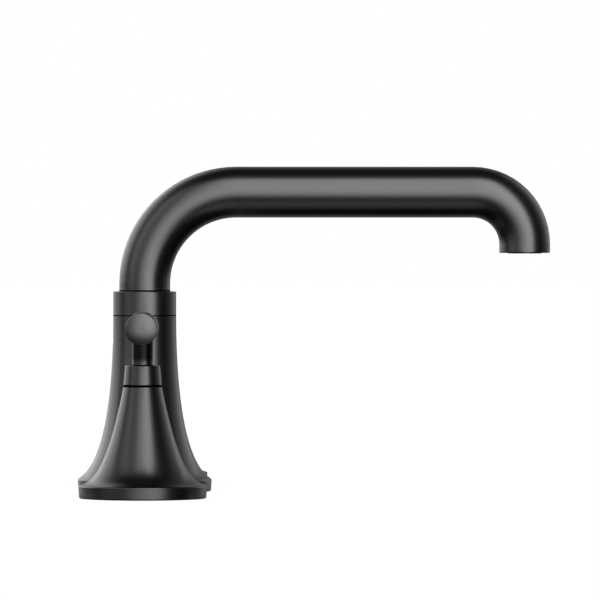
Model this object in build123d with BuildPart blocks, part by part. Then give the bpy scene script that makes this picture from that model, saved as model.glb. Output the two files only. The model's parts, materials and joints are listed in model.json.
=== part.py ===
from build123d import *
from math import asin, cos, degrees, radians, sin
import os

os.makedirs("parts", exist_ok=True)

# A deck-mounted bath faucet: a swivelling spout between a hot and a cold lever handle.
# Millimetres. +X is the way the spout reaches and +Z is up. The deck's top face is at Z = 0,
# and the origin is the middle of the spout's base. Hot stands at -Y and cold at +Y.

# Layout
handle_spacing = 203.2
deck_thickness = 30.0

# Fits and gaps
running_gap = 0.05
seat_gap = 0.1
thread_gap = 0.06
shank_gap = 0.18
reveal_gap = 0.6
glide_gap = 0.1

# Spout tube
tube_od = 28.6
tube_wall = 1.5
spout_reach = 213.5
riser_straight = 4.35
rise_bend_radius = 51.4
outlet_bend_radius = 29.1
outlet_straight = 5.0
outlet_rounding = 0.5

# Spout base: a horn that runs from its neck down to a low rim
spout_base_height = 98.5
neck_od = 35.4
spout_neck_lean = 0.0
spout_neck_pull = 37.0
spout_foot_d = 74.0
spout_foot_height = 7.15
spout_foot_slope = 32.0
spout_foot_pull = 18.4
spout_waist_height = 20.0
horn_wall = 4.0
rim_overhang = 0.6
rim_drop = 1.1
rim_taper = 0.35
edge_rounding = 0.8

# Spout collar, spigot and post
collar_height = 13.05
collar_floor = 1.8
collar_lip = 1.0
collar_rounding = 0.45
spigot_od = 20.9
spigot_bore = 15.0
spigot_depth = 38.0
spigot_flange = 2.0
spigot_end_gap = 2.0
neck_wall = 2.7
post_head_length = 45.0
post_recess = 0.5
ledge_thickness = 8.0
waterway_d = 16.0

# Seal rings of the spigot
seal_section = 1.5
seal_first = 6.0
seal_pitch = 8.0

# Swivel stop
swivel_limit = 60.0
stop_play = 0.8
stop_screw_d = 5.0
stop_tip_d = 4.0
stop_drop = 14.0
stop_slot_depth = 1.6
stop_tip_gap = 0.3
screw_recess = 0.6

# Outlet and aerator
bushing_wall = 3.2
bushing_nose = 5.0
bushing_nose_step = 1.5
bushing_shoulder = 1.7
aerator_wall = 1.3
aerator_proud = 0.4
aerator_lip = 0.8
aerator_lip_width = 1.4
aerator_seal_thickness = 1.3
cell_across = 2.0
cell_web = 0.6
cell_rings = 3

# Handle base
handle_base_height = 60.95
handle_neck_d = 20.8
handle_neck_lean = 11.4
handle_neck_pull = 45.2
handle_foot_d = 69.0
handle_foot_height = 7.15
handle_foot_slope = 13.9
handle_foot_pull = 8.1
handle_waist_height = 14.0
handle_neck_bore = 13.0

# Lever
hub_height = 10.9
hub_foot_d = 20.95
hub_top_d = 19.0
hub_rounding = 0.5
hub_lip = 1.3
lever_neck_d = 11.4
lever_bar_d = 17.25
lever_bar_rise = 20.65
lever_reach = 70.0
lever_tail = 9.5
lever_dome = 1.4
lever_end_flat_d = 2.4
lever_rounding = 0.55
lever_neck_fillet = 1.2
lever_stud_length = 5.8
stud_end_gap = 0.3
set_screw_d = 3.0

# Gaskets and glide rings
gasket_width = 3.0
gasket_thickness = 2.0
gasket_edge = 3.4
rim_cavity_height = 5.0
spout_glide_thickness = 2.0
hub_glide_thickness = 1.7
glide_width = 1.6

# Shanks, washers and nuts
spout_shank_od = 24.0
valve_shank_od = 26.44
rubber_washer_od = 46.0
rubber_washer_thickness = 3.0
clamp_washer_od = 48.0
clamp_washer_thickness = 2.0
lock_nut_across = 36.0
lock_nut_height = 9.0
nut_chamfer = 1.2
shank_tail = 11.0
inlet_od = 20.96
inlet_length = 16.0
thread_start = 1.0

# Valve body
valve_rise = 36.0
valve_thread_length = 10.0
valve_block_d = 34.0
valve_block_height = 22.0
valve_block_gap = 2.0
valve_inlet_bore = 13.0
valve_seat_rise = 4.0
valve_chamber_d = 25.0
valve_chamber_height = 12.0
outlet_od = 16.66
outlet_bore = 11.0
outlet_length = 12.0
outlet_boss_d = 19.0
outlet_boss_rise = 2.0
deck_washer_thickness = 1.5
deck_nut_height = 7.0

# Cartridge
cartridge_od = 19.8
cartridge_bore = 15.0
cartridge_shoulder_drop = 26.0
cartridge_window_width = 8.0
cartridge_window_height = 7.0
seat_seal_thickness = 1.5
disc_thickness = 3.0
disc_port_inner_d = 5.2
disc_port_outer_d = 12.4
disc_port_angle = 76.0
disc_notch_angle = 80.0
drive_plate_margin = 0.7
drive_plate_thickness = 2.0
drive_tongue_width = 2.0
drive_tongue_height = 1.2
stem_shaft_d = 8.0
stem_guide_d = 9.9
stem_collar_margin = 0.3
stem_collar_height = 4.0
stem_seal_section = 1.3
stem_seal_drop = 14.0
bonnet_across = 20.0
bonnet_height = 5.0
bonnet_plug = 2.0
bonnet_headroom = 1.0

# Heights above the deck, worked out from the sizes above
collar_bottom = spout_base_height + reveal_gap
collar_top = collar_bottom + collar_height
spout_glide_top = spout_base_height + spout_glide_thickness
collar_floor_bottom = spout_glide_top + glide_gap
collar_floor_top = collar_floor_bottom + collar_floor
tube_axis_height = collar_top + riser_straight + rise_bend_radius
outlet_height = tube_axis_height - outlet_bend_radius - outlet_straight
post_ledge = spout_base_height - post_head_length
spigot_bottom = spout_base_height - spigot_depth
stop_height = spout_base_height - stop_drop
hub_bottom = handle_base_height + reveal_gap
hub_top = hub_bottom + hub_height
hub_glide_top = handle_base_height + hub_glide_thickness
lever_bar_height = hub_top + lever_bar_rise
stem_top = hub_top - lever_stud_length - stud_end_gap
set_screw_middle = (hub_glide_top + glide_gap + stem_top) / 2

# Heights below the deck
washer_top = -deck_thickness
washer_middle = washer_top - rubber_washer_thickness
nut_top = washer_middle - clamp_washer_thickness
nut_bottom = nut_top - lock_nut_height
spout_shank_bottom = nut_bottom - shank_tail
spout_inlet_bottom = spout_shank_bottom - inlet_length
valve_block_top = nut_bottom - valve_block_gap
valve_block_bottom = valve_block_top - valve_block_height
valve_inlet_bottom = valve_block_bottom - inlet_length

# Heights inside the valve
valve_seat = valve_block_bottom + valve_seat_rise
cartridge_bottom = valve_seat + seat_seal_thickness
cartridge_top = valve_rise - bonnet_plug
cartridge_shoulder = valve_rise - cartridge_shoulder_drop
fixed_disc_top = cartridge_bottom + disc_thickness
moving_disc_bottom = fixed_disc_top + running_gap
moving_disc_top = moving_disc_bottom + disc_thickness
valve_port_height = fixed_disc_top + cartridge_window_height / 2
stem_seal_height = valve_rise - stem_seal_drop

# Heights at the outlet
aerator_bottom = outlet_height - aerator_proud
bushing_flange_top = outlet_height + outlet_straight - seat_gap
bushing_top = bushing_flange_top + bushing_nose
aerator_seal_top = bushing_top - bushing_shoulder
aerator_seal_bottom = aerator_seal_top - aerator_seal_thickness
seal_heights = [spigot_bottom + seal_first, spigot_bottom + seal_first + seal_pitch]

# Places on the deck, and the angle of the spout's rear
spout_spot = (0, 0)
outlet_spot = (spout_reach, 0)
rear = 180

# Radii
tube_r = tube_od / 2
tube_bore_r = tube_r - tube_wall
neck_r = neck_od / 2
neck_bore_r = neck_r - neck_wall
spout_shank_r = spout_shank_od / 2
valve_shank_r = valve_shank_od / 2
spigot_r = spigot_od / 2
post_bore_r = spigot_r + running_gap
bushing_r = tube_bore_r - running_gap
aerator_r = bushing_r - bushing_wall
aerator_mouth_r = aerator_r - aerator_wall - aerator_lip_width
inlet_r = inlet_od / 2
cartridge_r = cartridge_od / 2
disc_r = cartridge_bore / 2 - seat_gap
stem_guide_r = stem_guide_d / 2
stem_top_r = stem_shaft_d / 2


def save(piece, name):
    """Name a finished piece and write it."""
    piece.part.label = name
    export_step(piece.part, f"parts/{name}.step")


def upright(spot):
    """The upright axis through a spot (x, y) of the deck."""
    return Axis((spot[0], spot[1], 0), (0, 0, 1))


def radial_plane(spot, angle=0):
    """The upright plane through a spot, turned from +X: its x is the radius there and its y the height."""
    across = (cos(radians(angle)), sin(radians(angle)), 0)
    normal = (sin(radians(angle)), -cos(radians(angle)), 0)
    return Plane(origin=(spot[0], spot[1], 0), x_dir=across, z_dir=normal)


def turn(spot, *outline, mode=Mode.ADD):
    """Turn a closed outline of (radius, height) corners about the upright axis at a spot."""
    with BuildSketch(radial_plane(spot)) as section:
        with BuildLine():
            Polyline(*outline, close=True)
        make_face()
    revolve(section.sketch, axis=upright(spot), mode=mode)


def ring(spot, inner_r, outer_r, bottom, top, mode=Mode.ADD):
    """Turn a plain ring at a spot, or a disc where the inner radius is 0."""
    turn(spot, (inner_r, bottom), (outer_r, bottom), (outer_r, top), (inner_r, top), mode=mode)


def ring_piece(name, spot, inner_r, outer_r, bottom, top):
    """A washer, gasket, seal or glide ring."""
    with BuildPart() as plain_ring:
        ring(spot, inner_r, outer_r, bottom, top)
    save(plain_ring, name)


def drill(spot, angle, height, radius, start, end, mode=Mode.SUBTRACT):
    """A round hole, or with Mode.ADD a round pin, along a radius from a spot."""
    outward = (cos(radians(angle)), sin(radians(angle)), 0)
    mouth = (spot[0] + start * outward[0], spot[1] + start * outward[1], height)
    with BuildSketch(Plane(origin=mouth, z_dir=outward)) as circle:
        Circle(radius)
    extrude(circle.sketch, amount=end - start, mode=mode)


def hex_socket(spot, angle, height, mouth_r, across):
    """A hexagon socket in the end of a screw that lies along a radius."""
    outward = (cos(radians(angle)), sin(radians(angle)), 0)
    mouth = (spot[0] + mouth_r * outward[0], spot[1] + mouth_r * outward[1], height)
    with BuildSketch(Plane(origin=mouth, z_dir=outward)) as socket:
        RegularPolygon(across / 2, 6, major_radius=False)
    extrude(socket.sketch, amount=-across, mode=Mode.SUBTRACT)


def sector(spot, angle, spread, inner_r, outer_r, bottom, top):
    """Cut a ring sector, centred on an angle from +X."""
    with BuildSketch(radial_plane(spot, angle - spread / 2)) as section:
        with BuildLine():
            Polyline((inner_r, bottom), (outer_r, bottom), (outer_r, top), (inner_r, top), close=True)
        make_face()
    revolve(section.sketch, axis=upright(spot), revolution_arc=spread, mode=Mode.SUBTRACT)


def horn(height, neck_radius, lean_angle, neck_pull, foot_r, foot_height, slope_angle, foot_pull):
    """The outside line of a trumpet base, from its neck down to its foot."""
    lean = radians(lean_angle)
    slope = radians(slope_angle)
    return Bezier(
        (neck_radius, height),
        (neck_radius + neck_pull * sin(lean), height - neck_pull * cos(lean)),
        (foot_r - foot_pull * cos(slope), foot_height + foot_pull * sin(slope)),
        (foot_r, foot_height),
    )


def horn_solid(spot, line):
    """The full body under a horn line, with its low rim and a rounded edge on the deck."""
    neck = line @ 0
    foot = line @ 1
    rim_top = (foot.X + rim_overhang, foot.Y - rim_drop)
    rim_bottom = (rim_top[0] - rim_taper, edge_rounding)
    with BuildSketch(radial_plane(spot)) as section:
        with BuildLine():
            add(line)
            TangentArc(foot, rim_top, tangent=line % 1)
            Line(rim_top, rim_bottom)
            edge = TangentArc(rim_bottom, (rim_bottom[0] - edge_rounding, 0), tangent=(0, -1))
            Polyline(edge @ 1, (0, 0), (0, neck.Y), neck)
        make_face()
    revolve(section.sketch, axis=upright(spot))


def gasket_radii(foot_d):
    """Inside and outside radius of the rebate that a base's gasket lies in."""
    outer_r = foot_d / 2 - gasket_edge
    return outer_r - gasket_width, outer_r


def horn_radius(line, height):
    """Radius of a horn line at a height."""
    return line.find_intersection_points(Axis((0, height), (1, 0)))[0].X


def horn_hollow(spot, line, foot_d, waist_height, top):
    """Cut a base's hollow, a wall's thickness inside its horn, and the rebate for its gasket."""
    cavity_r, rebate_r = gasket_radii(foot_d)
    turn(
        spot,
        (0, 0),
        (rebate_r, 0),
        (rebate_r, gasket_thickness),
        (cavity_r, gasket_thickness),
        (cavity_r, rim_cavity_height),
        (horn_radius(line, waist_height) - horn_wall, waist_height),
        (horn_radius(line, top) - horn_wall, top),
        (0, top),
        mode=Mode.SUBTRACT,
    )


def base_gasket(unit, spot, foot_d):
    """The rubber ring in the rebate under a base, flush with the face that meets the deck."""
    cavity_r, rebate_r = gasket_radii(foot_d)
    ring_piece(f"{unit}_base_gasket", spot, cavity_r, rebate_r - seat_gap, 0, gasket_thickness)


def hex_prism(spot, across, bottom, height):
    """A hexagon whose corners are turned down at both faces."""
    flat_r = across / 2
    corner_r = flat_r + 2 * nut_chamfer
    top = bottom + height
    with BuildSketch(Plane.XY.offset(bottom)) as section:
        with Locations(spot):
            RegularPolygon(flat_r, 6, major_radius=False)
    extrude(section.sketch, amount=height)
    turn(
        spot,
        (0, bottom),
        (flat_r, bottom),
        (corner_r, bottom + nut_chamfer),
        (corner_r, top - nut_chamfer),
        (flat_r, top),
        (0, top),
        mode=Mode.INTERSECT,
    )


def hex_nut(name, spot, shank_r, bottom, height):
    """A hexagon nut on a shank."""
    with BuildPart() as nut:
        hex_prism(spot, lock_nut_across, bottom, height)
        ring(spot, 0, shank_r + thread_gap, bottom, bottom + height, mode=Mode.SUBTRACT)
    save(nut, name)


def deck_clamp(unit, spot, shank_r):
    """The washers and the nut that clamp one unit from below the deck."""
    hole_r = shank_r + shank_gap
    ring_piece(f"{unit}_rubber_washer", spot, hole_r, rubber_washer_od / 2, washer_middle, washer_top)
    ring_piece(f"{unit}_clamp_washer", spot, hole_r, clamp_washer_od / 2, nut_top, washer_middle)
    hex_nut(f"{unit}_lock_nut", spot, shank_r, nut_bottom, lock_nut_height)


def spout_base():
    """The spout's trumpet: neck bore above, ledge for the post's head, open hollow below."""
    line = horn(
        spout_base_height,
        neck_r,
        spout_neck_lean,
        spout_neck_pull,
        spout_foot_d / 2,
        spout_foot_height,
        spout_foot_slope,
        spout_foot_pull,
    )
    ledge_bottom = post_ledge - ledge_thickness
    with BuildPart() as base:
        horn_solid(spout_spot, line)
        horn_hollow(spout_spot, line, spout_foot_d, spout_waist_height, ledge_bottom)
        ring(spout_spot, 0, spout_shank_r + shank_gap, ledge_bottom, post_ledge, mode=Mode.SUBTRACT)
        ring(spout_spot, 0, neck_bore_r, post_ledge, spout_base_height, mode=Mode.SUBTRACT)
        drill(spout_spot, rear, stop_height, stop_screw_d / 2 + thread_gap, 0, spout_foot_d / 2)
    save(base, "spout_base")


def spout_post():
    """The brass post: its head hangs on the base's ledge and its shank goes through the deck."""
    head_r = neck_bore_r - seat_gap
    head_top = spout_base_height - post_recess
    bore_bottom = spigot_bottom - spigot_end_gap
    waterway_r = waterway_d / 2
    with BuildPart() as post:
        turn(
            spout_spot,
            (waterway_r, spout_inlet_bottom),
            (inlet_r - thread_start, spout_inlet_bottom),
            (inlet_r, spout_inlet_bottom + thread_start),
            (inlet_r, spout_shank_bottom),
            (spout_shank_r - thread_start, spout_shank_bottom),
            (spout_shank_r, spout_shank_bottom + thread_start),
            (spout_shank_r, post_ledge),
            (head_r, post_ledge),
            (head_r, head_top),
            (post_bore_r, head_top),
            (post_bore_r, bore_bottom),
            (waterway_r, bore_bottom),
        )
        drill(spout_spot, rear, stop_height, stop_screw_d / 2 + thread_gap, 0, neck_bore_r)
    save(post, "spout_post")


def swivel_stop_screw():
    """The screw at the rear of the spout's base. Its tip runs in the spigot's slot."""
    tip_start = spigot_r - stop_slot_depth + stop_tip_gap
    tip_end = post_bore_r + seat_gap
    mouth_r = neck_r - screw_recess
    with BuildPart() as screw:
        drill(spout_spot, rear, stop_height, stop_tip_d / 2, tip_start, tip_end, mode=Mode.ADD)
        drill(spout_spot, rear, stop_height, stop_screw_d / 2, tip_end, mouth_r, mode=Mode.ADD)
        hex_socket(spout_spot, rear, stop_height, mouth_r, stop_screw_d / 2)
    save(screw, "swivel_stop_screw")


def spout_glide_washer():
    """The ring between the base's neck and the collar, which sits in the collar's recess."""
    outer_r = neck_r - collar_lip - seat_gap
    inner_r = outer_r - glide_width
    ring_piece("spout_glide_washer", spout_spot, inner_r, outer_r, spout_base_height, spout_glide_top)


def spout_collar():
    """The collar: a recess for the glide washer, a floor for the spigot and a socket for the tube."""
    with BuildPart() as collar:
        ring(spout_spot, 0, neck_r, collar_bottom, collar_top)
        fillet(collar.edges().filter_by(GeomType.CIRCLE), collar_rounding)
        ring(spout_spot, 0, neck_r - collar_lip, collar_bottom, collar_floor_bottom, mode=Mode.SUBTRACT)
        ring(spout_spot, 0, post_bore_r, collar_floor_bottom, collar_floor_top, mode=Mode.SUBTRACT)
        ring(spout_spot, 0, tube_r + running_gap, collar_floor_top, collar_top, mode=Mode.SUBTRACT)
    save(collar, "spout_collar")


def spout_spigot():
    """The brass spigot: flange on the collar's floor, two seal grooves and the slot of the swivel stop."""
    flange_top = collar_floor_top + spigot_flange
    groove_r = post_bore_r - 2 * running_gap - seal_section
    groove_half = seal_section / 2 + running_gap
    slot_r = spigot_r - stop_slot_depth
    slot_half = stop_tip_d / 2 + stop_tip_gap
    slot_angle = 2 * (swivel_limit + degrees(asin(stop_tip_d / 2 / slot_r)) + stop_play)
    with BuildPart() as spigot:
        turn(
            spout_spot,
            (spigot_bore / 2, spigot_bottom),
            (spigot_r, spigot_bottom),
            (spigot_r, collar_floor_top),
            (tube_bore_r - seat_gap, collar_floor_top),
            (tube_bore_r - seat_gap, flange_top),
            (spigot_bore / 2, flange_top),
        )
        for height in seal_heights:
            groove_top = height + groove_half
            ring(spout_spot, groove_r, tube_r, height - groove_half, groove_top, mode=Mode.SUBTRACT)
        slot_top = stop_height + slot_half
        sector(spout_spot, rear, slot_angle, slot_r, tube_r, stop_height - slot_half, slot_top)
    save(spigot, "spout_spigot")


def spigot_seals():
    """The pair of square-cut seal rings on the spigot."""
    outer_r = post_bore_r - running_gap
    with BuildPart() as seals:
        for height in seal_heights:
            bottom = height - seal_section / 2
            ring(spout_spot, outer_r - seal_section, outer_r, bottom, bottom + seal_section)
    save(seals, "spigot_seals")


def spout_tube():
    """The bent tube, from the collar's floor to the rim of the outlet."""
    with BuildPart() as tube:
        with BuildLine(Plane.XZ) as route:
            FilletPolyline(
                (0, collar_floor_top),
                (0, tube_axis_height),
                (spout_reach, tube_axis_height),
                (spout_reach, outlet_height),
                radius=[rise_bend_radius, outlet_bend_radius],
            )
        with BuildSketch(Plane.XY.offset(collar_floor_top)):
            Circle(tube_r)
            Circle(tube_bore_r, mode=Mode.SUBTRACT)
        sweep(path=route.wires()[0])
        rim = tube.faces().filter_by(Axis.Z).sort_by(Axis.X)[-1]
        fillet(rim.outer_wire().edges(), outlet_rounding)
    save(tube, "spout_tube")


def outlet_bushing():
    """The ring in the tube's end that the aerator screws into, with a shoulder above for the seal."""
    bore_r = aerator_r + thread_gap
    nose_r = bushing_r - bushing_nose_step
    with BuildPart() as bushing:
        turn(
            outlet_spot,
            (bore_r, outlet_height),
            (bushing_r, outlet_height),
            (bushing_r, bushing_flange_top),
            (nose_r, bushing_flange_top),
            (nose_r, bushing_top),
            (aerator_mouth_r, bushing_top),
            (aerator_mouth_r, aerator_seal_top),
            (bore_r, aerator_seal_top),
        )
    save(bushing, "outlet_bushing")


def aerator():
    """The aerator: a shell with an inward lip, a honeycomb insert that stands on it, and a seal above."""
    insert_r = aerator_r - aerator_wall
    lip_top = aerator_bottom + aerator_lip
    with BuildPart() as shell:
        turn(
            outlet_spot,
            (insert_r - aerator_lip_width, aerator_bottom),
            (aerator_r, aerator_bottom),
            (aerator_r, aerator_seal_bottom),
            (insert_r, aerator_seal_bottom),
            (insert_r, lip_top),
            (insert_r - aerator_lip_width, lip_top),
        )
    save(shell, "aerator_shell")

    pitch_r = (cell_across + cell_web) / 2
    with BuildPart() as insert:
        ring(outlet_spot, 0, insert_r - running_gap, lip_top, aerator_seal_bottom)
        with BuildSketch(Plane.XY.offset(lip_top)) as cells:
            with Locations(outlet_spot):
                with HexLocations(pitch_r, 2 * cell_rings + 1, 2 * cell_rings + 1):
                    RegularPolygon(cell_across / 2, 6, major_radius=False, rotation=30)
                Circle(insert_r - aerator_lip_width, mode=Mode.INTERSECT)
        extrude(cells.sketch, amount=aerator_seal_bottom - lip_top, mode=Mode.SUBTRACT)
    save(insert, "aerator_insert")

    ring_piece(
        "aerator_seal",
        outlet_spot,
        aerator_mouth_r,
        aerator_r,
        aerator_seal_bottom,
        aerator_seal_top,
    )


def handle_base(unit, spot):
    """A handle's trumpet: neck bore for the stem, room for the bonnet nut, thread, open hollow."""
    line = horn(
        handle_base_height,
        handle_neck_d / 2,
        handle_neck_lean,
        handle_neck_pull,
        handle_foot_d / 2,
        handle_foot_height,
        handle_foot_slope,
        handle_foot_pull,
    )
    thread_bottom = valve_rise - valve_thread_length
    bonnet_room_r = bonnet_across / 2 + 2 * nut_chamfer
    bonnet_room_top = valve_rise + bonnet_height + bonnet_headroom
    with BuildPart() as base:
        horn_solid(spot, line)
        horn_hollow(spot, line, handle_foot_d, handle_waist_height, thread_bottom)
        ring(spot, 0, valve_shank_r + thread_gap, thread_bottom, valve_rise, mode=Mode.SUBTRACT)
        ring(spot, 0, bonnet_room_r, valve_rise, bonnet_room_top, mode=Mode.SUBTRACT)
        ring(spot, 0, handle_neck_bore / 2, bonnet_room_top, handle_base_height, mode=Mode.SUBTRACT)
    save(base, f"{unit}_handle_base")


def valve_body(unit, spot, inward):
    """The brass valve: inlet below, side outlet towards the spout, chamber, shank and cartridge bore."""
    bore_r = cartridge_r + seat_gap
    block_r = valve_block_d / 2
    chamber_bottom = valve_port_height - valve_chamber_height / 2
    chamber_top = valve_port_height + valve_chamber_height / 2
    boss_end = block_r + outlet_boss_rise
    outlet_end = boss_end + outlet_length
    with BuildPart() as body:
        turn(
            spot,
            (0, valve_inlet_bottom),
            (inlet_r - thread_start, valve_inlet_bottom),
            (inlet_r, valve_inlet_bottom + thread_start),
            (inlet_r, valve_block_bottom),
            (block_r, valve_block_bottom),
            (block_r, valve_block_top),
            (valve_shank_r, valve_block_top),
            (valve_shank_r, valve_rise - thread_start),
            (valve_shank_r - thread_start, valve_rise),
            (0, valve_rise),
        )
        drill(spot, inward, valve_port_height, outlet_boss_d / 2, 0, boss_end, mode=Mode.ADD)
        drill(spot, inward, valve_port_height, outlet_od / 2, boss_end, outlet_end, mode=Mode.ADD)
        ring(spot, 0, valve_inlet_bore / 2, valve_inlet_bottom, valve_seat, mode=Mode.SUBTRACT)
        ring(spot, 0, bore_r, valve_seat, valve_rise, mode=Mode.SUBTRACT)
        ring(spot, 0, valve_chamber_d / 2, chamber_bottom, chamber_top, mode=Mode.SUBTRACT)
        drill(spot, inward, valve_port_height, outlet_bore / 2, 0, outlet_end)
    save(body, f"{unit}_valve_body")


def deck_nut(unit, spot):
    """The washer and nut that hold a valve on top of the deck, inside its trumpet."""
    hole_r = valve_shank_r + shank_gap
    ring_piece(f"{unit}_deck_washer", spot, hole_r, rubber_washer_od / 2, 0, deck_washer_thickness)
    hex_nut(f"{unit}_deck_nut", spot, valve_shank_r, deck_washer_thickness, deck_nut_height)


def cartridge_housing(unit, spot):
    """The long sleeve of the cartridge: discs and two side windows below, stem guide above."""
    guide_r = stem_guide_r + running_gap
    with BuildPart() as housing:
        turn(
            spot,
            (cartridge_bore / 2, cartridge_bottom),
            (cartridge_r, cartridge_bottom),
            (cartridge_r, cartridge_top),
            (guide_r, cartridge_top),
            (guide_r, cartridge_shoulder),
            (cartridge_bore / 2, cartridge_shoulder),
        )
        with BuildSketch(Plane.XZ.offset(-spot[1])) as window:
            with Locations((spot[0], valve_port_height)):
                Rectangle(cartridge_window_width, cartridge_window_height)
        extrude(window.sketch, amount=cartridge_r, both=True, mode=Mode.SUBTRACT)
    save(housing, f"{unit}_cartridge_housing")


def bonnet_nut(unit, spot):
    """The nut on top of the valve body. Its plug holds the cartridge down."""
    bore_r = stem_guide_r + seat_gap
    with BuildPart() as bonnet:
        hex_prism(spot, bonnet_across, valve_rise, bonnet_height)
        ring(spot, 0, cartridge_r, cartridge_top, valve_rise)
        ring(spot, 0, bore_r, cartridge_top, valve_rise + bonnet_height, mode=Mode.SUBTRACT)
    save(bonnet, f"{unit}_bonnet_nut")


def ceramic_discs(unit, spot):
    """The fixed disc with two ports in line with the windows, and the moving disc with two open notches."""
    port_inner_r = disc_port_inner_d / 2
    with BuildPart() as fixed_disc:
        ring(spot, 0, disc_r, cartridge_bottom, fixed_disc_top)
        for angle in (90, 270):
            sector(
                spot,
                angle,
                disc_port_angle,
                port_inner_r,
                disc_port_outer_d / 2,
                cartridge_bottom,
                fixed_disc_top,
            )
    save(fixed_disc, f"{unit}_fixed_disc")

    with BuildPart() as moving_disc:
        ring(spot, 0, disc_r, moving_disc_bottom, moving_disc_top)
        for angle in (0, 180):
            sector(
                spot,
                angle,
                disc_notch_angle,
                port_inner_r,
                cartridge_r,
                moving_disc_bottom,
                moving_disc_top,
            )
        groove_depth = drive_tongue_height + running_gap
        with BuildSketch(Plane.XY.offset(moving_disc_top)) as groove:
            with Locations(spot):
                Rectangle(drive_tongue_width + 2 * running_gap, cartridge_bore)
        extrude(groove.sketch, amount=-groove_depth, mode=Mode.SUBTRACT)
    save(moving_disc, f"{unit}_moving_disc")


def cartridge_stem(unit, spot):
    """The stem: a tongue in the moving disc's groove, drive plate, thrust collar, guide and hub end."""
    plate_bottom = moving_disc_top
    plate_top = plate_bottom + drive_plate_thickness
    plate_r = cartridge_bore / 2 - drive_plate_margin
    collar_r = cartridge_bore / 2 - stem_collar_margin
    thrust_top = cartridge_shoulder - glide_gap
    thrust_bottom = thrust_top - stem_collar_height
    guide_top = valve_rise + bonnet_height + bonnet_headroom
    groove_half = stem_seal_section / 2 + running_gap
    groove_r = stem_guide_r - running_gap - stem_seal_section
    with BuildPart() as stem:
        turn(
            spot,
            (0, plate_bottom),
            (plate_r, plate_bottom),
            (plate_r, plate_top),
            (stem_top_r, plate_top),
            (stem_top_r, thrust_bottom),
            (collar_r, thrust_bottom),
            (collar_r, thrust_top),
            (stem_guide_r, thrust_top),
            (stem_guide_r, guide_top),
            (stem_top_r, guide_top),
            (stem_top_r, stem_top),
            (0, stem_top),
        )
        with BuildSketch(Plane.XY.offset(plate_bottom)) as tongue:
            with Locations(spot):
                Circle(plate_r)
                Rectangle(drive_tongue_width, cartridge_bore, mode=Mode.INTERSECT)
        extrude(tongue.sketch, amount=-drive_tongue_height)
        ring(
            spot,
            groove_r,
            collar_r,
            stem_seal_height - groove_half,
            stem_seal_height + groove_half,
            mode=Mode.SUBTRACT,
        )
    save(stem, f"{unit}_cartridge_stem")


def stem_seal(unit, spot):
    """The square-cut seal ring on the stem."""
    inner_r = stem_guide_r - stem_seal_section
    bottom = stem_seal_height - stem_seal_section / 2
    top = bottom + stem_seal_section
    ring_piece(f"{unit}_stem_seal", spot, inner_r, stem_guide_r, bottom, top)


def glide_ring(unit, spot):
    """The ring between a base's neck and the hub, which sits in the hub's recess."""
    outer_r = hub_foot_d / 2 - hub_lip - seat_gap
    inner_r = outer_r - glide_width
    ring_piece(f"{unit}_glide_ring", spot, inner_r, outer_r, handle_base_height, hub_glide_top)


def lever_hub(unit, spot, inward):
    """The tapered hub: recess for the glide ring, bore for the stem and the arm's stud, set screw hole."""
    bore_r = stem_top_r + running_gap
    recess_r = hub_foot_d / 2 - hub_lip
    with BuildPart() as hub:
        turn(spot, (0, hub_bottom), (hub_foot_d / 2, hub_bottom), (hub_top_d / 2, hub_top), (0, hub_top))
        fillet(hub.edges().filter_by(GeomType.CIRCLE), hub_rounding)
        ring(spot, 0, recess_r, hub_bottom, hub_glide_top + glide_gap, mode=Mode.SUBTRACT)
        ring(spot, 0, bore_r, hub_bottom, hub_top, mode=Mode.SUBTRACT)
        drill(spot, inward, set_screw_middle, set_screw_d / 2 + thread_gap, 0, hub_foot_d)
    save(hub, f"{unit}_lever_hub")


def hub_set_screw(unit, spot, inward):
    """The grub screw that holds the hub on the stem, on the side towards the spout."""
    mouth_r = hub_top_d / 2 - screw_recess
    with BuildPart() as screw:
        drill(spot, inward, set_screw_middle, set_screw_d / 2, stem_top_r, mouth_r, mode=Mode.ADD)
        hex_socket(spot, inward, set_screw_middle, mouth_r, set_screw_d / 2)
    save(screw, f"{unit}_hub_set_screw")


def lever_arm(unit, spot, outward_sign):
    """The arm: stud in the hub, slim neck and round bar, whose domed ends have a small flat in the middle."""
    tip = spot[1] + outward_sign * lever_reach
    tail = spot[1] - outward_sign * lever_tail
    dome = outward_sign * lever_dome
    bar_top = lever_bar_height + lever_bar_d / 2
    flat_top = lever_bar_height + lever_end_flat_d / 2
    with BuildPart() as arm:
        with BuildSketch(Plane.YZ) as section:
            with BuildLine():
                tip_end = TangentArc((tip, flat_top), (tip - dome, bar_top), tangent=(0, 1))
                tail_end = TangentArc((tail, flat_top), (tail + dome, bar_top), tangent=(0, 1))
                Line(tip_end @ 1, tail_end @ 1)
                Polyline(tip_end @ 0, (tip, lever_bar_height), (tail, lever_bar_height), tail_end @ 0)
            make_face()
            fillet(section.vertices().group_by(Axis.Y)[-1], lever_rounding)
        revolve(axis=Axis((0, 0, lever_bar_height), (0, 1, 0)))
        with BuildSketch(Plane.XY.offset(hub_top)):
            with Locations(spot):
                Circle(lever_neck_d / 2)
        extrude(amount=lever_bar_rise)
        seam = arm.edges(Select.LAST).sort_by(Axis.Z)[-1]
        fillet(seam, lever_neck_fillet)
        ring(spot, 0, stem_top_r, hub_top - lever_stud_length, hub_top)
    save(arm, f"{unit}_lever_arm")


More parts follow.
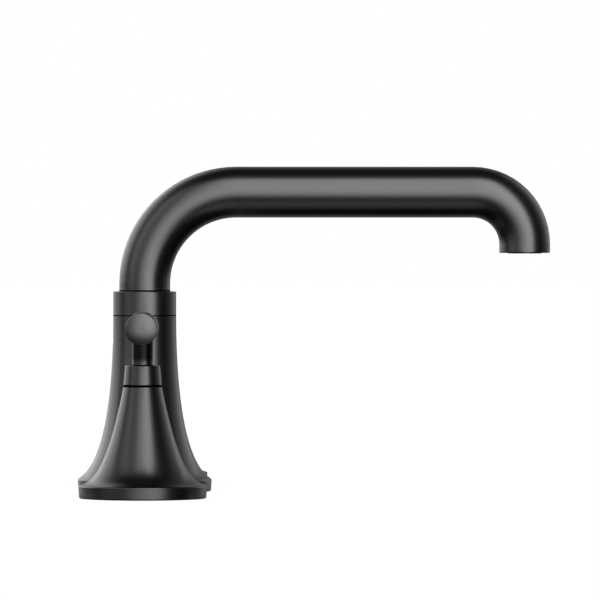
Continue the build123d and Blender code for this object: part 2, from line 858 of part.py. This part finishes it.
def handle(unit, outward_sign):
    """One whole handle. It stands beside the spout, and its lever points away from it."""
    spot = (0, outward_sign * handle_spacing / 2)
    inward = -90 * outward_sign
    handle_base(unit, spot)
    base_gasket(f"{unit}_handle", spot, handle_foot_d)
    valve_body(unit, spot, inward)
    deck_nut(unit, spot)
    deck_clamp(f"{unit}_valve", spot, valve_shank_r)
    cartridge_housing(unit, spot)
    bonnet_nut(unit, spot)
    ceramic_discs(unit, spot)
    ring_piece(f"{unit}_seat_seal", spot, valve_inlet_bore / 2, cartridge_r, valve_seat, cartridge_bottom)
    cartridge_stem(unit, spot)
    stem_seal(unit, spot)
    glide_ring(unit, spot)
    lever_hub(unit, spot, inward)
    hub_set_screw(unit, spot, inward)
    lever_arm(unit, spot, outward_sign)


# The spout
spout_base()
base_gasket("spout", spout_spot, spout_foot_d)
spout_post()
swivel_stop_screw()
deck_clamp("spout", spout_spot, spout_shank_r)
spout_glide_washer()
spout_collar()
spout_spigot()
spigot_seals()
spout_tube()
outlet_bushing()
aerator()

# The handles
handle("hot", -1)
handle("cold", 1)
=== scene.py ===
import json
import math

import bpy
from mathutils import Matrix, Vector


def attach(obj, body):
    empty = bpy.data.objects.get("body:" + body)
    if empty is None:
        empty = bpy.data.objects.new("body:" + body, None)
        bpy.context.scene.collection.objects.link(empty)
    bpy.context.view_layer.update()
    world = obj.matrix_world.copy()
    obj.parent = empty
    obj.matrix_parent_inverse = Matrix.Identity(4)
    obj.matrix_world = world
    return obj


# A satin black deck-mounted bath faucet in a plain white studio. Metres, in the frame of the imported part.
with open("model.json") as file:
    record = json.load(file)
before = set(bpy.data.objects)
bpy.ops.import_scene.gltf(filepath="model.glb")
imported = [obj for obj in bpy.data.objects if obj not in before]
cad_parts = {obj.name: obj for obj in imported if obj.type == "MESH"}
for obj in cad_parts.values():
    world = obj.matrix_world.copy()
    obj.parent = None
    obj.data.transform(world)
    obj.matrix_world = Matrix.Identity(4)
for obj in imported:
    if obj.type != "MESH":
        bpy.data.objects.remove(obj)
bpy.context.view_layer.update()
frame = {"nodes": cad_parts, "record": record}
scene = bpy.context.scene
scene.view_settings.view_transform = "Standard"

# Camera: a long lens a little above the collar, as in the photograph
camera_place = Vector((0.03875, -3.5, 0.13719))
camera_lens = 373.77
camera_sensor = 36.0
camera_far = 100.0
camera_yaw = 0.013852
camera_pitch = 0.008539

# Floor: the white deck that the camera sees, and the grey patch of it that shows in the gloss of the bases
floor_half = (20.0, 20.0)
floor_drop = 0.0003
floor_tone = 0.8
floor_white = 1.10
floor_shadow = 0.14
mirrored_half = (0.050, 0.125)
mirrored_tone = 0.22

# Studio lights, in degrees as seen from the object: azimuth 0 is the camera's side, positive is to its right.
# Each edge is a pair: the angle where the light is dark, and the angle where it is full
softbox = {"level": 3.6, "left": (-50, 25), "right": (47, 30), "bottom": (-32, 4), "top": (68, 56)}
side_card = {"level": 1.0, "left": (-95, -65), "right": (-25, -60), "bottom": (-25, 15), "top": (70, 45)}
rear_wall = {"level": 1.6, "left": (-180, -155), "right": (-85, -110), "bottom": (-10, 10), "top": (65, 20)}
rear_strip = {"level": 0.8, "left": (70, 145), "right": (158, 142), "bottom": (-15, 10), "top": (65, 20)}
floor_glow = {"level": 0.5, "left": (-50, 25), "right": (47, 30), "bottom": (-85, -65), "top": (-30, -50)}
studio_lights = [softbox, side_card, rear_wall, rear_strip, floor_glow]

# The white behind the object, which its gloss sees: how bright it is, and where along Y it starts and is full
backdrop_share = 0.3
backdrop_edge = (0.4, 0.95)

# Thin rings. Their sections list (radius, height)
handle_places = {"hot": -0.1016, "cold": 0.1016}
outlet_place = (0.2135, 0.0)
ring_steps = 96
sharp_edge = 30
# A dull black ring of painted shade where the riser meets the collar
riser_shade_ring = [
    (0.01390, 0.11217), (0.01436, 0.11217), (0.01443, 0.11235), (0.01443, 0.11275), (0.01434, 0.11293),
    (0.01390, 0.11293),
]
collar_lip = [(0.0171, 0.09899), (0.01771, 0.09899), (0.01771, 0.0995), (0.0177, 0.0998), (0.0171, 0.0998)]
# Black rings of painted shade in the gap under the collar and in the gap under each hub
spout_shade_line = [(0.0171, 0.09838), (0.01772, 0.09838), (0.01772, 0.09895), (0.0171, 0.09895)]
hub_shade_line = [(0.0099, 0.06062), (0.01049, 0.06062), (0.01048, 0.06148), (0.0099, 0.06148)]
outlet_ring = [(0.00962, 0.13372), (0.01278, 0.13372), (0.01278, 0.13384), (0.00962, 0.13384)]
# A black ring of painted shade at the foot of each lever's neck
neck_shade_ring = [(0.0054, 0.0723), (0.00583, 0.0723), (0.00583, 0.07292), (0.0054, 0.07292)]

# The skin of a lever's neck, with painted shade under the bar, and the bar that it ends at
neck_bottom = 0.07247
neck_inner = 0.00555
neck_outer = 0.00573
neck_overlap = 0.0003
# Painted shade on the neck: gone below the bottom height, full above the top height; the specular level in
# it, and how much that rises below it
neck_shade_bottom = 0.0724
neck_shade_top = 0.0768
neck_shade_specular = 0.12
neck_shade_lift = 0.75
bar_height = 0.0931
bar_radius = 0.008625

# Threads: the radius, length and pitch of each, where it starts, and the ridge that they all have
spout_shank_size = (0.0120, 0.0540, 0.0015)
valve_shank_size = (0.01322, 0.0454, 0.001814)
inlet_size = (0.01048, 0.0150, 0.001814)
outlet_size = (0.00833, 0.0117, 0.001337)
shank_start = -0.0005
spout_inlet_start = -0.0551
valve_inlet_start = -0.0681
outlet_start = 0.0191
outlet_height = -0.056
thread_steps = 36
thread_height = 0.00032
thread_root = 0.00010
thread_crest_share = 0.14
thread_root_share = 0.42
ridge_corners = 4

# Finishes: refraction of the two satin blacks, the grain that all have, and name endings of the duller nodes
satin_refraction = 1.8
handle_refraction = 1.7
grain_detail = 3.0
grain_low = 0.3
grain_high = 0.7
grain_depth = 0.00002
duller_nodes = ("_handle_base", "_lever_hub")


def maths(tree, operation, *values):
    """A maths node on values or outputs."""
    node = tree.nodes.new("ShaderNodeMath")
    node.operation = operation
    for number, value in enumerate(values):
        if isinstance(value, bpy.types.NodeSocket):
            tree.links.new(value, node.inputs[number])
        else:
            node.inputs[number].default_value = value
    return node.outputs["Value"]


def smooth(tree, value, start, end, top=1.0):
    """A smooth rise from 0 to a top level."""
    node = tree.nodes.new("ShaderNodeMapRange")
    node.interpolation_type = "SMOOTHSTEP"
    node.inputs["From Min"].default_value = start
    node.inputs["From Max"].default_value = end
    node.inputs["To Max"].default_value = top
    tree.links.new(value, node.inputs["Value"])
    return node.outputs["Result"]


def soft_light(tree, azimuth, elevation, level, left, right, bottom, top):
    """The brightness of one soft-edged light by direction."""
    across = maths(tree, "MULTIPLY", smooth(tree, azimuth, *left), smooth(tree, azimuth, *right))
    upward = maths(tree, "MULTIPLY", smooth(tree, elevation, *bottom), smooth(tree, elevation, *top, level))
    return maths(tree, "MULTIPLY", across, upward)


def make_world():
    """White for the camera. The object sees the studio lights, and its gloss some of the white behind it."""
    world = bpy.data.worlds.new("studio")
    world.use_nodes = True
    scene.world = world
    tree = world.node_tree
    background = tree.nodes["Background"]
    place = tree.nodes.new("ShaderNodeTexCoord")
    split = tree.nodes.new("ShaderNodeSeparateXYZ")
    tree.links.new(place.outputs["Generated"], split.inputs["Vector"])
    front = maths(tree, "MULTIPLY", split.outputs["Y"], -1.0)
    azimuth = maths(tree, "DEGREES", maths(tree, "ARCTAN2", split.outputs["X"], front))
    elevation = maths(tree, "DEGREES", maths(tree, "ARCSINE", split.outputs["Z"]))
    studio = 0.0
    for light in studio_lights:
        studio = maths(tree, "ADD", studio, soft_light(tree, azimuth, elevation, **light))
    rays = tree.nodes.new("ShaderNodeLightPath").outputs
    mirrored = maths(tree, "MAXIMUM", rays["Is Glossy Ray"], rays["Is Transmission Ray"])
    backdrop = smooth(tree, split.outputs["Y"], *backdrop_edge, backdrop_share)
    mix = tree.nodes.new("ShaderNodeMix")
    tree.links.new(rays["Is Camera Ray"], mix.inputs["Factor"])
    tree.links.new(maths(tree, "MULTIPLY_ADD", mirrored, backdrop, studio), mix.inputs["A"])
    mix.inputs["B"].default_value = 1.0
    tree.links.new(mix.outputs["Result"], background.inputs["Color"])


def deck_material(name, glow_level, shadow_share):
    """A deck that glows evenly, with a share of real light and shadow, and is clear from below."""
    material = bpy.data.materials.new(name)
    material.use_nodes = True
    tree = material.node_tree
    tree.nodes.remove(tree.nodes["Principled BSDF"])
    glow = tree.nodes.new("ShaderNodeEmission")
    glow.inputs["Strength"].default_value = glow_level
    shaded = tree.nodes.new("ShaderNodeBsdfDiffuse")
    shaded.inputs["Color"].default_value = (floor_tone, floor_tone, floor_tone, 1)
    top = tree.nodes.new("ShaderNodeMixShader")
    top.inputs["Fac"].default_value = shadow_share
    tree.links.new(glow.outputs["Emission"], top.inputs[1])
    tree.links.new(shaded.outputs["BSDF"], top.inputs[2])
    clear = tree.nodes.new("ShaderNodeBsdfTransparent")
    place = tree.nodes.new("ShaderNodeNewGeometry")
    sides = tree.nodes.new("ShaderNodeMixShader")
    tree.links.new(place.outputs["Backfacing"], sides.inputs["Fac"])
    tree.links.new(top.outputs["Shader"], sides.inputs[1])
    tree.links.new(clear.outputs["BSDF"], sides.inputs[2])
    tree.links.new(sides.outputs["Shader"], tree.nodes["Material Output"].inputs["Surface"])
    return material


def make_sheet(name, half, for_camera, material):
    """A level sheet under the bases that casts no shadow. Either the camera or the reflections see it."""
    x, y = half
    mesh = bpy.data.meshes.new(name)
    corners = [(-x, -y, -floor_drop), (x, -y, -floor_drop), (x, y, -floor_drop), (-x, y, -floor_drop)]
    mesh.from_pydata(corners, [], [(0, 1, 2, 3)])
    mesh.materials.append(material)
    sheet = bpy.data.objects.new(name, mesh)
    scene.collection.objects.link(sheet)
    sheet.visible_camera = for_camera
    sheet.visible_glossy = not for_camera
    sheet.visible_diffuse = False
    sheet.visible_transmission = False
    sheet.visible_shadow = False


def make_floor():
    """The deck for the camera, and the patch of it for the reflections."""
    make_sheet("floor", floor_half, True, deck_material("floor", floor_white, floor_shadow))
    make_sheet("mirrored_floor", mirrored_half, False, deck_material("mirrored_floor", mirrored_tone, 0.0))


def add_mesh(name, points, faces, material, body):
    """A piece that rides on a body, smooth but for its sharp edges."""
    mesh = bpy.data.meshes.new(name)
    mesh.from_pydata(points, [], faces)
    mesh.shade_smooth()
    mesh.set_sharp_from_angle(angle=math.radians(sharp_edge))
    mesh.materials.append(material)
    piece = bpy.data.objects.new(name, mesh)
    scene.collection.objects.link(piece)
    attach(piece, body)


def neck_section(step):
    """The section of a lever neck's skin, which ends at the underside of the bar."""
    across = neck_outer * math.cos(2 * math.pi * step / ring_steps)
    top = bar_height - math.sqrt(bar_radius ** 2 - across ** 2) + neck_overlap
    return [(neck_inner, neck_bottom), (neck_outer, neck_bottom), (neck_outer, top), (neck_inner, top)]


def lathe(name, spot, sections, material, body):
    """A ring about the upright axis at a spot, with one section for each step round it."""
    points = []
    faces = []
    count = len(sections[0])
    for step, section in enumerate(sections):
        turn = 2 * math.pi * step / ring_steps
        points += [(spot[0] + r * math.cos(turn), spot[1] + r * math.sin(turn), z) for r, z in section]
        here = step * count
        after = (step + 1) % ring_steps * count
        for mark in range(count):
            beside = (mark + 1) % count
            faces.append((here + mark, after + mark, after + beside, here + beside))
    add_mesh(name, points, faces, material, body)


def plain_ring(name, spot, section, material, body):
    """A ring with the same section all the way round."""
    lathe(name, spot, [section] * ring_steps, material, body)


def thread(name, start, along, size, material):
    """A screw thread: one helical ridge on a shank, which runs out at both ends."""
    radius, length, pitch = size
    start = Vector(start)
    along = Vector(along)
    across = Vector((1, 0, 0))
    side = along.cross(across)
    total = round(thread_steps * length / pitch) - thread_steps
    points = []
    faces = []
    for step in range(total + 1):
        turn = 2 * math.pi * step / thread_steps
        outward = across * math.cos(turn) + side * math.sin(turn)
        rise = min(1.0, 2 * step / thread_steps, 2 * (total - step) / thread_steps)
        crest = radius - thread_root / 2 + (thread_height + thread_root / 2) * rise
        middle = pitch * (0.5 + step / thread_steps)
        for reach, share in (
            (radius - thread_root, -thread_root_share),
            (crest, -thread_crest_share),
            (crest, thread_crest_share),
            (radius - thread_root, thread_root_share),
        ):
            points.append(start + outward * reach + along * (middle + share * pitch))
    for step in range(total):
        here = ridge_corners * step
        after = here + ridge_corners
        for mark in range(ridge_corners):
            beside = (mark + 1) % ridge_corners
            faces.append((here + mark, here + beside, after + beside, after + mark))
    faces.append(tuple(reversed(range(ridge_corners))))
    faces.append(tuple(range(ridge_corners * total, ridge_corners * (total + 1))))
    add_mesh(name, points, faces, material, "deck_set")


def add_threads(material):
    """The threads of the shanks, the supply inlets and the side outlets."""
    down = (0, 0, -1)
    thread("spout_shank_thread", (0, 0, shank_start), down, spout_shank_size, material)
    thread("spout_inlet_thread", (0, 0, spout_inlet_start), down, inlet_size, material)
    for unit, y in handle_places.items():
        inward = -1 if y > 0 else 1
        outlet = (0, y + inward * outlet_start, outlet_height)
        thread(f"{unit}_shank_thread", (0, y, shank_start), down, valve_shank_size, material)
        thread(f"{unit}_inlet_thread", (0, y, valve_inlet_start), down, inlet_size, material)
        thread(f"{unit}_outlet_thread", outlet, (0, inward, 0), outlet_size, material)


def add_trim(black, riser_shade_finish, line, neck):
    """Rings of painted shade at the riser and at the necks' feet, the outlet's black face, dark lines of
    painted shade under collar and hubs, and the necks' skins with painted shade under the bars.
    """
    plain_ring("riser_shade_ring", (0, 0), riser_shade_ring, riser_shade_finish, "spout")
    plain_ring("collar_lip", (0, 0), collar_lip, black, "spout")
    plain_ring("outlet_ring", outlet_place, outlet_ring, black, "spout")
    plain_ring("spout_shade_line", (0, 0), spout_shade_line, line, "deck_set")
    for unit, y in handle_places.items():
        lever = f"{unit}_lever"
        plain_ring(f"{unit}_hub_shade_line", (0, y), hub_shade_line, line, "deck_set")
        plain_ring(f"{unit}_neck_shade_ring", (0, y), neck_shade_ring, line, lever)
        sections = [neck_section(step) for step in range(ring_steps)]
        # The neck's skin carries painted shade under the bar
        lathe(f"{unit}_neck_shaded_skin", (0, y), sections, neck, lever)


def make_camera():
    """The photograph's view."""
    data = bpy.data.cameras.new("camera")
    data.lens = camera_lens
    data.sensor_width = camera_sensor
    data.clip_end = camera_far
    camera = bpy.data.objects.new("camera", data)
    scene.collection.objects.link(camera)
    camera.location = camera_place
    camera.rotation_euler = (math.pi / 2 - camera_pitch, 0.0, -camera_yaw)
    scene.camera = camera


def finish(name, dark, pale, gloss, grain, bump, **sockets):
    """A procedural finish: fine grain in its colour, its gloss and its surface."""
    material = bpy.data.materials.new(name)
    material.use_nodes = True
    tree = material.node_tree
    shader = tree.nodes["Principled BSDF"]
    place = tree.nodes.new("ShaderNodeTexCoord")
    fine = tree.nodes.new("ShaderNodeTexNoise")
    fine.inputs["Scale"].default_value = grain
    fine.inputs["Detail"].default_value = grain_detail
    tree.links.new(place.outputs["Object"], fine.inputs["Vector"])
    tint = tree.nodes.new("ShaderNodeValToRGB")
    tint.color_ramp.elements[0].position = grain_low
    tint.color_ramp.elements[0].color = (*dark, 1)
    tint.color_ramp.elements[1].position = grain_high
    tint.color_ramp.elements[1].color = (*pale, 1)
    tree.links.new(fine.outputs["Fac"], tint.inputs["Fac"])
    tree.links.new(tint.outputs["Color"], shader.inputs["Base Color"])
    shine = tree.nodes.new("ShaderNodeMapRange")
    shine.inputs["From Min"].default_value = grain_low
    shine.inputs["From Max"].default_value = grain_high
    shine.inputs["To Min"].default_value = gloss[0]
    shine.inputs["To Max"].default_value = gloss[1]
    tree.links.new(fine.outputs["Fac"], shine.inputs["Value"])
    tree.links.new(shine.outputs["Result"], shader.inputs["Roughness"])
    relief = tree.nodes.new("ShaderNodeBump")
    relief.inputs["Strength"].default_value = bump
    relief.inputs["Distance"].default_value = grain_depth
    tree.links.new(fine.outputs["Fac"], relief.inputs["Height"])
    tree.links.new(relief.outputs["Normal"], shader.inputs["Normal"])
    for socket, value in sockets.items():
        shader.inputs[socket.replace("_", " ")].default_value = value
    return material


def satin_black(name, refraction):
    """The satin black of the spout and the handles."""
    return finish(
        name, dark=(0.0020,) * 3, pale=(0.0034,) * 3,
        gloss=(0.27, 0.31), grain=2600.0, bump=0.05, IOR=refraction,
    )


def neck_painted_shade():
    """Black with painted shade: it reflects little under the lever's bar and more near the hub."""
    material = finish(
        "neck_painted_shade", dark=(0.0016,) * 3, pale=(0.0026,) * 3,
        gloss=(0.27, 0.31), grain=2600.0, bump=0.05,
    )
    tree = material.node_tree
    shader = tree.nodes["Principled BSDF"]
    place = tree.nodes.new("ShaderNodeTexCoord")
    split = tree.nodes.new("ShaderNodeSeparateXYZ")
    tree.links.new(place.outputs["Object"], split.inputs["Vector"])
    # Painted shade: the specular level is low under the bar and rises towards the hub
    rise = smooth(tree, split.outputs["Z"], neck_shade_top, neck_shade_bottom, neck_shade_lift)
    tree.links.new(maths(tree, "ADD", rise, neck_shade_specular), shader.inputs["Specular IOR Level"])
    return material


def make_finishes():
    """The finish of each material slot."""
    return {
        "black_metal": satin_black("satin_black", satin_refraction),
        "brass": finish(
            "turned_brass", dark=(0.66, 0.48, 0.22), pale=(0.73, 0.54, 0.26),
            gloss=(0.26, 0.31), grain=2200.0, bump=0.015, Metallic=1.0,
        ),
        "steel": finish(
            "steel", dark=(0.54, 0.54, 0.55), pale=(0.62, 0.62, 0.63),
            gloss=(0.26, 0.32), grain=2200.0, bump=0.015, Metallic=1.0,
        ),
        "rubber": finish(
            "rubber", dark=(0.016,) * 3, pale=(0.030,) * 3,
            gloss=(0.62, 0.80), grain=1800.0, bump=0.4,
        ),
        "plastic": finish(
            "moulded_plastic", dark=(0.74, 0.74, 0.71), pale=(0.82, 0.82, 0.79),
            gloss=(0.40, 0.52), grain=700.0, bump=0.15,
        ),
        "dark_plastic": finish(
            "dark_plastic", dark=(0.0025,) * 3, pale=(0.0050,) * 3,
            gloss=(0.50, 0.62), grain=900.0, bump=0.2,
        ),
        "ceramic": finish(
            "lapped_ceramic", dark=(0.80, 0.79, 0.75), pale=(0.90, 0.89, 0.86),
            gloss=(0.10, 0.16), grain=1600.0, bump=0.03,
        ),
    }


def dress_nodes(finishes):
    """Give every node the finish of its slot. Handle bases and hubs get a slightly less glossy black."""
    handle_black = satin_black("handle_black", handle_refraction)
    for entry in frame["record"]["subparts"]:
        node = frame["nodes"][entry["node"]]
        node.data.materials.clear()
        if entry["node"].endswith(duller_nodes):
            node.data.materials.append(handle_black)
        else:
            node.data.materials.append(finishes[entry["material_slot"]])


make_world()
make_floor()
make_camera()
finishes = make_finishes()
dress_nodes(finishes)
# A dull black for the ring of painted shade at the riser
riser_shade_black = finish(
    "riser_shade_dull", dark=(0.0014,) * 3, pale=(0.0028,) * 3,
    gloss=(0.80, 0.92), grain=1800.0, bump=0.3, Specular_IOR_Level=0.1,
)
# A black with no reflection, for the rings of painted shade under the collar, under the hubs and at the
# necks' feet
shade_line_black = finish(
    "shade_line_black", dark=(0.0006,) * 3, pale=(0.0014,) * 3,
    gloss=(0.85, 0.95), grain=1800.0, bump=0.3, Specular_IOR_Level=0.0,
)
add_trim(finishes["black_metal"], riser_shade_black, shade_line_black, neck_painted_shade())
add_threads(finishes["brass"])
